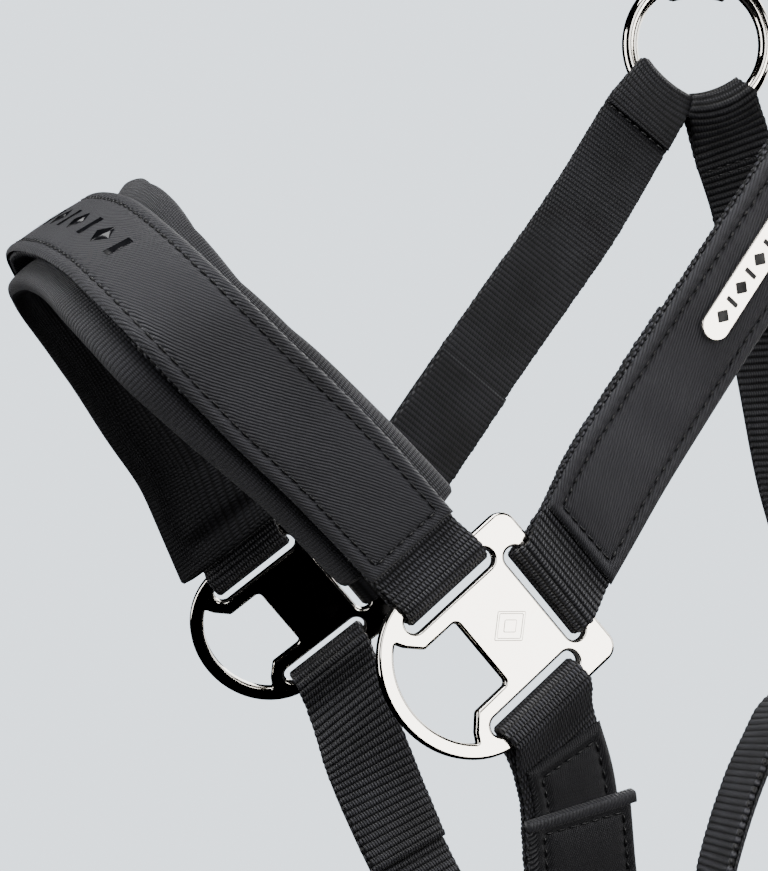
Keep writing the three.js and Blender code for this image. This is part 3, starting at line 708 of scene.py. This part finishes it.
def rounded(points, radius, count=7):
    """A closed outline with its sharp corners turned into arcs."""
    pts = [np.array(p, float) for p in points]
    out = []
    for before, p, after in zip(pts[-1:] + pts[:-1], pts, pts[1:] + pts[:1]):
        a, b = before - p, after - p
        la, lb = np.linalg.norm(a), np.linalg.norm(b)
        a, b = a / la, b / lb
        half = math.acos(np.clip(a @ b, -1, 1)) / 2
        if half > math.radians(80):
            out.append(tuple(p))
            continue
        d = min(radius / math.tan(half), 0.45 * la, 0.45 * lb)
        r = d * math.tan(half)
        centre = p + (a + b) / np.linalg.norm(a + b) * (r / math.sin(half))
        v0, v1 = p + a * d - centre, p + b * d - centre
        for f in np.linspace(0, 1, count):
            v = v0 * (1 - f) + v1 * f
            out.append(tuple(centre + v / np.linalg.norm(v) * r))
    return out


def cast(name, outlines, thick, bevel, at, x, y, node=None, material=NICKEL):
    """A flat piece with rounded edges: the first outline is its edge and the others are holes."""
    curve = bpy.data.curves.new(name, "CURVE")
    curve.dimensions, curve.fill_mode = "2D", "BOTH"
    curve.extrude, curve.offset = thick / 2 - bevel, -bevel
    curve.bevel_depth, curve.bevel_resolution = bevel, 3
    for k, pts in enumerate(outlines):
        area = sum(p[0] * q[1] - q[0] * p[1] for p, q in zip(pts, pts[1:] + pts[:1]))
        pts = pts if (area > 0) == (k == 0) else pts[::-1]
        spline = curve.splines.new("POLY")
        spline.points.add(len(pts) - 1)
        spline.points.foreach_set("co", np.array([(px, py, 0, 1) for px, py in pts]).ravel())
        spline.use_cyclic_u = True
    tmp = bpy.data.objects.new(name + "_curve", curve)
    bpy.context.scene.collection.objects.link(tmp)
    deps = bpy.context.evaluated_depsgraph_get()
    mesh = bpy.data.meshes.new_from_object(tmp.evaluated_get(deps))
    bpy.data.objects.remove(tmp)
    bm = bmesh.new()
    bm.from_mesh(mesh)
    bmesh.ops.remove_doubles(bm, verts=bm.verts, dist=0.002)
    bmesh.ops.dissolve_degenerate(bm, edges=bm.edges, dist=0.002)
    bm.to_mesh(mesh)
    bm.free()
    co = np.zeros(len(mesh.vertices) * 3)
    mesh.vertices.foreach_get("co", co)
    co = co.reshape(-1, 3)
    z = np.cross(x, y)
    co = ROW(at + co[:, :1] * x + co[:, 1:2] * y + co[:, 2:] * z)
    mesh.vertices.foreach_set("co", co.ravel())
    mesh.update()
    mesh.name = name
    o = bpy.data.objects.new(name, mesh)
    bpy.context.scene.collection.objects.link(o)
    mesh.materials.clear()
    mesh.materials.append(material)
    mesh.polygons.foreach_set("use_smooth", [True] * len(mesh.polygons))
    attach(o, "straps")
    if node:
        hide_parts(node)
    o.modifiers.new("flats", "WEIGHTED_NORMAL").weight = 100


def side_plate(name, plate):
    at, a, b = plate
    n = unit(*np.cross(a, b))
    b = np.cross(n, a)
    corners = arc(22.6, -18.2, 4, 4, -0.5, 0, 9) + arc(22.6, 18.2, 4, 4, 0, 0.5, 9)
    edge = [(-6, -22.2)] + corners + [(-6, 22.2)] + arc(-6, 0, 19.6, 22.2, 0.5, 1.5, 64)[1:-1]
    bow = arc(-6, 0, 19.6 - BOW, 22.2 - BOW, 0.69, 1.31, 40)
    opening = [(-0.2, -9.5), (-0.2, 9.5), (-10.2, 9.5), (-13.6, 13.0), *bow, (-13.6, -13.0), (-10.2, -9.5)]
    slots = [stadium(3.3, y, 27.5, 5) for y in (-15.9, 15.9)] + [stadium(20.6, 0, 27.5, 5, upright=True)]
    cast(name, [edge, rounded(opening, 1.3), *slots], 3.2, 0.75, at, a, b, node=name)
    # A plain lozenge stands just proud of the outer face.
    side = 1.5 if n[1] * at[1] > 0 else -1.5
    for k, (r, inner) in enumerate(((4.6, 3.7), (2.0, 0))):
        lozenge = [(r * 1.15, 0), (0, r), (-r * 1.15, 0), (0, -r)]
        hole = [(inner * 1.15, 0), (0, inner), (-inner * 1.15, 0), (0, -inner)]
        outlines = [rounded(lozenge, 0.3, 4)] + ([rounded(hole, 0.2, 4)] if inner else [])
        cast(f"{name}_lozenge_{k}", outlines, 0.5, 0.2, at + a * 9 + n * side, a, b)


def ring_piece(name, ring):
    at, out = ring
    x = unit(*np.cross(V(0, 1, 0.001), out))
    y = np.cross(out, x)
    major, minor = 160, 32
    i, j = np.meshgrid(np.arange(major), np.arange(minor), indexing="ij")
    u, v = (a[..., None] * 2 * math.pi for a in (i / major, j / minor))
    r = RING + WIRE * np.cos(v)
    verts = at + r * np.cos(u) * x + r * np.sin(u) * y + WIRE * np.sin(v) * out
    i2, j2 = (i + 1) % major, (j + 1) % minor
    faces = np.stack([i * minor + j, i2 * minor + j, i2 * minor + j2, i * minor + j2], -1)
    o = make_mesh(name + "_wire", verts.reshape(-1, 3), faces.reshape(-1, 4).tolist(), None, NICKEL, name)
    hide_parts(name)


side_plate("near_side_plate", NEAR_PLATE)
side_plate("off_side_plate", OFF_PLATE)
for which, ring in (("near_ring", NEAR_RING), ("off_ring", OFF_RING), ("chin_ring", CHIN_RING)):
    ring_piece(which, ring)


# ---- Straps --------------------------------------------------------------------------------------
def bar_stitch(name, line, s, side, half=11.0, rows=(0.0, 2.4)):
    """Rows of stitches across a strap, on its outer (1) or inner (-1) face, s from the start or the end."""
    total = line.length()[-1]
    s = total + s if s < 0 else s
    runs = [((s + r, -half), (s + r, half)) for r in rows]
    sew(name, line, 0, 0, side * (HALF + WEB / 2 - 0.05), rows=runs, side=side)


def noseband():
    nose, near_w = (0.83, 0, 0.55), tuple(NEAR_PLATE[1])
    line, start, end = strap_line(plate_bar(NEAR_PLATE, "nose", NEAR_SIDE), knots(
        (-38, -60, 45, near_w), (-57, -60, 62, near_w), (-72, -57, 77, unit(0.79, 0, 0.61)),
        (-79, -44, 88, nose), (-81, -24, 96, nose), (-80, 0, 100, nose), (-77, 22, 101, nose),
        (-72, 40, 100, nose), (-64, 53, 94, unit(0.82, -0.06, 0.56)), (-48, 60, 77, unit(0.8, -0.14, 0.57)),
        (-36, 62, 61, unit(0.77, -0.2, 0.58)), (-24, 62.5, 45, unit(0.73, -0.28, 0.6)),
    ), plate_bar(OFF_PLATE, "nose", OFF_SIDE))
    webbing("noseband_webbing", doubled(line, start, end, (80, 80)), rib=1.65)
    facing("noseband_facing", line, COVER / 2)
    fit = ((18, 1), (18.2, -1.3), (20, 3.2), (20.5, 1.5), (20.5, 1.5))
    pad("noseband_pad", line, fit, flare=6.4, beyond=-end.e)
    return line


def cheekpieces():
    near_w, off_w = unit(0.8, -0.1, -0.58), unit(0.74, -0.28, -0.6)
    near, start, end = strap_line(plate_bar(NEAR_PLATE, "cheek", NEAR_SIDE), knots(
        (33, -66, 41, unit(0.7, -0.13, -0.69)), (46, -68.5, 61, unit(0.76, -0.12, -0.63)),
        (65, -74, 91, near_w), (92, -80, 132, near_w),
    ), ring_bar(NEAR_RING, unit_in(NEAR_RING, -0.5, -0.86)))
    webbing("near_cheek_webbing", doubled(near, start, end, (60, 60)), rib=1.65)
    facing("near_cheek_facing", near, FACED / 2, material=CHEEK_MAT, shift=0.3)
    off, start, end = strap_line(plate_bar(OFF_PLATE, "cheek", OFF_SIDE), knots(
        (37, 57, 40, unit(0.69, -0.08, -0.71)), (56, 61, 63, unit(0.71, -0.14, -0.68)),
        (76, 66, 86, unit(0.73, -0.2, -0.65)), (102, 72, 116, off_w),
    ), ring_bar(OFF_RING, unit_in(OFF_RING, -0.65, -0.76)))
    # The off cheekpiece's webbing takes the darker copy of the webbing: painted shade.
    webbing("off_cheek_webbing", doubled(off, start, end, (60, 2)), WEB_SHADED, rib=1.7)
    facing("off_cheek_facing", off, FACED / 2, material=CHEEK_MAT)
    bar_stitch("off_cheek_bar", off, -3, -1, rows=(0.0,))
    badge(near)


def badge(line):
    """A bar set on the near cheekpiece, with a row of plain lozenges and bars in black enamel."""
    step = 4.1
    k = round(len(line) * 0.55)
    p, n = line.p[k], line.n[k]
    x = unit(*(line.p[k + 5] - line.p[k - 5]))
    y = np.cross(n, x)
    at = p + n * (FACING_AT + 0.5 + GAP + 0.6 + 0.6)
    cast("near_badge_bar", [stadium(0, 0, 62, 7.5)], 1.2, 0.35, at, x, y, node="near_badge")
    bar = [(-0.8, -1.7), (0.4, -1.7), (0.8, 1.7), (-0.4, 1.7)]
    lozenge = [(-2, 0), (0, -1.9), (2, 0), (0, 1.9)]
    for k in range(-6, 7):
        mark = rounded([(k * step + u, v) for u, v in (bar if k % 2 else lozenge)], 0.3, 4)
        cast(f"near_badge_mark_{k + 6}", [mark], 0.2, 0.06, at + n * 0.56, x, y, material=ENAMEL)


def chin():
    back = unit(0.94, 0, 0.33)
    off_way, near_way = (unit(*(back * -0.3 + ACROSS * y)) for y in (0.95, -0.95))
    off_w, near_w = unit(0.75, 0.1, 0.62), unit(0.8, -0.1, 0.5)
    off, start, end = strap_line(plate_bar(OFF_PLATE, "chin", OFF_SIDE), knots(
        (23, 59, -35, unit(0.7, -0.2, 0.66)), (33.5, 55, -62, off_w), (45, 47, -90, off_w),
    ), ring_bar(CHIN_RING, off_way))
    webbing("off_chin_webbing", doubled(off, start, end, (50, 30)), rib=2.1)
    facing("off_chin_facing", off.cut(10, len(off)), FACED / 2)
    near, start, end = strap_line(plate_bar(NEAR_PLATE, "chin", NEAR_SIDE), knots(
        (22.5, -62, -33, unit(0.79, -0.08, 0.57)), (28, -57, -58, near_w), (39, -47, -88, near_w),
    ), ring_bar(CHIN_RING, near_way))
    webbing("near_chin_webbing", doubled(near, start, end, (40, 40)), rib=1.65)
    facing("near_chin_facing", squared(near, 0.5), 11.3, TAB_MAT, shift=1)
    tab = squared(near, 1).cut(15, 81)
    over = FACING_AT - HALF - 0.5
    facing("near_chin_tab", tab, 14.0, TAB_MAT, base=over, thick=2.6, shift=0.6)
    tape_edge("near_chin_tab_tape", tab.cut(0, 3), 14.0, over, 2.6, 0.6)


def connecting():
    turned = unit(0.25, 0.97, 0)
    loop = {"at": V(183, 0, -14), "e": V(-1, 0, 0), "out": -UP, "w": ACROSS, "radius": 4.6, "straight": 30}
    line, start, end = strap_line(ring_bar(CHIN_RING, unit(0.94, 0, 0.33)), knots(
        (98, 0, -88, turned), (102, 0, -68, turned), (112, 0, -42, turned), (122, 0, -26, turned),
    ), loop)
    webbing("connecting_webbing", doubled(line, start, end, (24, 12)))
    facing("connecting_facing", line.cut(12, len(line) - 6), FACED / 2)


def throat():
    x = unit(1, 0, 0.1)
    line, start, end = strap_line(ring_bar(OFF_RING, unit_in(OFF_RING, 0.34, -0.94)), knots(
        (171, 84, 120, unit(0.9, -0.3, 0.2)), (176, 80, 70, x), (178, 68, 30, x), (174, 40, -2, x),
        (168, 0, -12, (1, 0, 0)), (166, -40, -2, x), (166, -70, 30, x), (167, -88, 75, x),
    ), SNAP_EYE)
    # The throat strap's webbing takes the darker copy of the webbing: painted shade.
    webbing("throat_webbing", doubled(line, start, end, (60, 60)), WEB_SHADED, rib=2.1, ribs=0.4)
    facing("throat_facing", line, FACED / 2)
    bar_stitch("throat_bar", line, 4, -1)


SNAP_DIR = unit_in(NEAR_RING, 0.5, -0.866)
SNAP_ACROSS = unit(*np.cross(NEAR_RING[1], SNAP_DIR))
SNAP_AT = NEAR_RING[0] + SNAP_DIR * RING
SNAP_EYE = {"at": SNAP_AT + SNAP_DIR * 60, "e": SNAP_DIR, "out": NEAR_RING[1], "w": SNAP_ACROSS,
            "radius": 4.4, "stiff": 6}
HEEL = NEAR_RING[0] + UP * (RING - 0.9 + 60)
BUCKLE_ACROSS = V(0.96, -0.28, 0)


def cut_out(o, boxes):
    """Cuts boxes and stadiums, as closed meshes, out of a piece."""
    for verts, faces in boxes:
        mesh = bpy.data.meshes.new("cutter")
        mesh.from_pydata(ROW(verts).tolist(), [], faces)
        cutter = bpy.data.objects.new("cutter", mesh)
        bpy.context.scene.collection.objects.link(cutter)
        m = o.modifiers.new("cut", "BOOLEAN")
        m.object, m.operation, m.solver = cutter, "DIFFERENCE", "EXACT"
        deps = bpy.context.evaluated_depsgraph_get()
        cut = bpy.data.meshes.new_from_object(o.evaluated_get(deps))
        o.modifiers.clear()
        old, name = o.data, o.data.name
        o.data = cut
        bpy.data.meshes.remove(old)
        o.data.name = name
        bpy.data.objects.remove(cutter)
        bpy.data.meshes.remove(mesh)


def prism(points, at, x, y, depth):
    """A prism through a piece: an outline in the plane of x and y, depth to each side of it."""
    z = np.cross(x, y)
    pts = np.array([at + px * x + py * y for px, py in points])
    k = len(pts)
    verts = np.concatenate([pts - z * depth, pts + z * depth])
    faces = [list(range(k))[::-1], list(range(k, 2 * k))]
    faces += [[i, (i + 1) % k, k + (i + 1) % k, k + i] for i in range(k)]
    return verts, faces


def crown():
    x, w = V(1, 0, 0), BUCKLE_ACROSS
    beside = [(58, -3.6), (44, -4.4), (32, -4.8), (21, -4.8), (14, 0), (7.5, 4.9), (1, 6), (-7, 5.2)]
    beside += [(-15, 3.6), (-23, 3), (-34, 2.8), (-46, 2.8)]
    top = POLL[2] + PAD_AT + 3
    over = knots(
        (156, 90, 250, x), (162, 86, 300, x), (163, 64, 346, x), (162, 34, top - 7, x), (160, 0, top, x),
        (157, -34, top - 7, x), (150, -62, 350, x), (138, -80, 334, w),
    )
    near = [(HEEL + UP * up + NEAR_RING[1] * out, w) for up, out in beside]
    start = fold_to(ring_bar(OFF_RING, UP), over[0])
    line = centre_line(start.leaving(1) + over + near, start.out)
    strap = webbing("crown_webbing", doubled(line, start, None, (60, 0)))
    near_side = np.where(line.p[:, 1] < 0)[0]
    holes = []
    for up in (-32.5, -10.5, 11.5, 33.5, 55.5):  # above the buckle's bar
        k = near_side[np.argmin(np.abs(line.p[near_side, 2] - HEEL[2] - up))]
        t = unit(*(line.p[min(k + 1, len(line) - 1)] - line.p[k - 1]))
        at = line.p[k] + line.n[k] * HALF
        holes.append(prism(stadium(0, 0, 11.5, 5.4), at, t, np.cross(line.n[k], t), 2.4))
    cut_out(strap, holes)
    padded = [k for k, (_, y, z) in enumerate(line.p) if z > 285 and (y > -70 or z > 345)]
    first, last = padded[0], padded[-1]
    pad("crown_pad", line.cut(first, last), rise=3.2)
    facing("crown_facing", line.cut(first + 15, last - 15), COVER / 2)


def buckle():
    start = Fold(e=UP, **ring_bar(NEAR_RING, UP))
    end = Fold(HEEL, start.w, start.out, 4.4, -UP)
    line = centre_line(start.leaving(1) + end.leaving(1), start.out)
    chape = webbing("buckle_chape", doubled(line, start, end, (18, 12)))
    slot = [(-6.6, -3), (8, -3), (8, 3), (-6.6, 3)]
    cut_out(chape, [prism(slot, HEEL, UP, BUCKLE_ACROSS, 9)])
    bar_stitch("chape_bar", line, 3, 1)
    # The keeper: a loop of narrow webbing round the chape and the crown strap's end.
    corners = rounded([(-3.6, -14.8), (6.2, -14.8), (6.2, 14.8), (-3.6, 14.8)], 2.0, 6)
    corners = corners[9:] + corners[:10]
    p = [HEEL + UP * -30 + NEAR_RING[1] * o + BUCKLE_ACROSS * c for o, c in corners]
    middle = HEEL + UP * -30 + NEAR_RING[1] * 1.3
    t = np.gradient(np.array(p), axis=0)
    n = np.cross(t, UP)
    n /= np.linalg.norm(n, axis=1)[:, None]
    if n[0] @ (p[0] - middle) < 0:
        n = -n
    loop = Track(p, np.tile(UP, (len(p), 1)), n, np.full(len(p), 8.0))
    webbing("keeper_loop", loop, thick=1.6, body="keeper", ribs=0.1, node="crown_keeper")


def carried_over():
    """CAD metal whose shape is right keeps it, with its edges eased."""
    for name in ("snap_body", "snap_bolt", "snap_eye", "buckle_frame", "buckle_tongue"):
        o = bpy.data.objects[name]
        o.data.materials.clear()
        o.data.materials.append(NICKEL)
        m = o.modifiers.new("ease", "BEVEL")
        m.width, m.segments, m.limit_method, m.angle_limit = 0.0005, 3, "ANGLE", math.radians(40)
        o.modifiers.new("flats", "WEIGHTED_NORMAL").weight = 80


def print_on_nose(line):
    """A glossy row of plain lozenges and bars, printed across the middle of the noseband."""
    line = line.resample(0.8)
    middle = line.length()[-1] / 2
    half, step = 3.4, 8.5
    f = np.linspace(-1, 1, 13)
    for k in range(-5, 6):
        wide = half * (1 - np.abs(f)) if k % 2 == 0 else np.full(13, half)
        s = np.repeat(middle + k * step + f * (half if k % 2 == 0 else 1.1), 2)
        x = np.stack([-wide, wide], 1).ravel()
        verts = place(line, s, x, np.full(26, FACING_AT + 1.08))
        faces = [[2 * i, 2 * i + 1, 2 * i + 3, 2 * i + 2] for i in range(12)]
        o = make_mesh(f"nose_print_{k + 5}", verts, faces, None, PRINT)
        o.modifiers.new("ink", "SOLIDIFY").thickness = 0.00006


nose_line = noseband()
print_on_nose(nose_line)
cheekpieces()
chin()
connecting()
throat()
crown()
buckle()
carried_over()


# ---- Room, light and camera -------------------------------------------------------------------------
def plane(name, at, x, y, material):
    """A flat piece of the room, x and y to each side of its middle."""
    at, x, y = (Vector(v) for v in (at, x, y))
    mesh = bpy.data.meshes.new(name)
    mesh.from_pydata([at - x - y, at + x - y, at + x + y, at - x + y], [], [(0, 1, 2, 3)])
    mesh.materials.append(material)
    o = bpy.data.objects.new(name, mesh)
    bpy.context.scene.collection.objects.link(o)
    return o


def softbox(name, at, target, width, height, power, color=(1, 1, 1)):
    """A rectangular lamp at a place, aimed at a target, both in row metres."""
    light = bpy.data.lights.new(name, "AREA")
    light.shape, light.size, light.size_y = "RECTANGLE", width, height
    light.energy, light.color = power, color
    o = bpy.data.objects.new(name, light)
    o.location = at
    o.rotation_euler = (Vector(target) - Vector(at)).to_track_quat("-Z", "Y").to_euler()
    o.visible_camera = False
    bpy.context.scene.collection.objects.link(o)


def room():
    world = bpy.data.worlds.new("studio")
    bpy.context.scene.world = world
    world.use_nodes = True
    sky = world.node_tree.nodes["Background"]
    sky.inputs[0].default_value = (*SKY, 1)
    sky.inputs[1].default_value = SKY_POWER
    # The pale backdrop shows behind the object, and the lamps alone light it.
    world.cycles_visibility.diffuse = False
    world.cycles_visibility.glossy = False
    material, _, bsdf = new_material("pale_floor", mul(SKY, 0.5), 0.9)
    bsdf.inputs["Emission Color"].default_value = (*SKY, 1)
    bsdf.inputs["Emission Strength"].default_value = SKY_POWER * 0.9
    floor = plane("floor", (-0.1, 0, -1.3), (3, 0, 0), (0, 3, 0), material)
    floor.visible_glossy = floor.visible_diffuse = False
    softbox("key", (0.02, -1.05, -0.26), (-0.16, -0.062, -0.366), 0.45, 0.55, 5.2, (1, 0.97, 0.93))
    softbox("top", (-0.5, -0.3, 0.9), (-0.1, 0, -0.3), 0.9, 0.9, 20)
    softbox("rim", (0.7, 0.9, 0.3), (0, 0, -0.2), 0.5, 1.0, 7)
    softbox("back", (1.0, 0.25, 0.0), (-0.05, 0, -0.2), 0.8, 1.0, 7)
    softbox("left", (-1.3, 0.4, -0.2), (-0.16, 0, -0.35), 0.7, 1.0, 9)
    softbox("behind", (-0.75, -1.0, 0.12), (-0.05, -0.05, -0.2), 0.5, 0.8, 4)
    softbox("right", (0.9, -0.75, 0.0), (-0.05, -0.05, -0.2), 0.5, 0.8, 4)


def camera():
    data = bpy.data.cameras.new("camera")
    data.lens, data.sensor_width, data.sensor_fit = 99.2, 36, "AUTO"
    o = bpy.data.objects.new("camera", data)
    o.location = (-0.4136, -0.5617, -0.3156)
    o.rotation_euler = Vector((0.4163, 0.9092, 0)).to_track_quat("-Z", "Y").to_euler()
    bpy.context.scene.collection.objects.link(o)
    bpy.context.scene.camera = o


room()
camera()

bpy.context.view_layer.update()
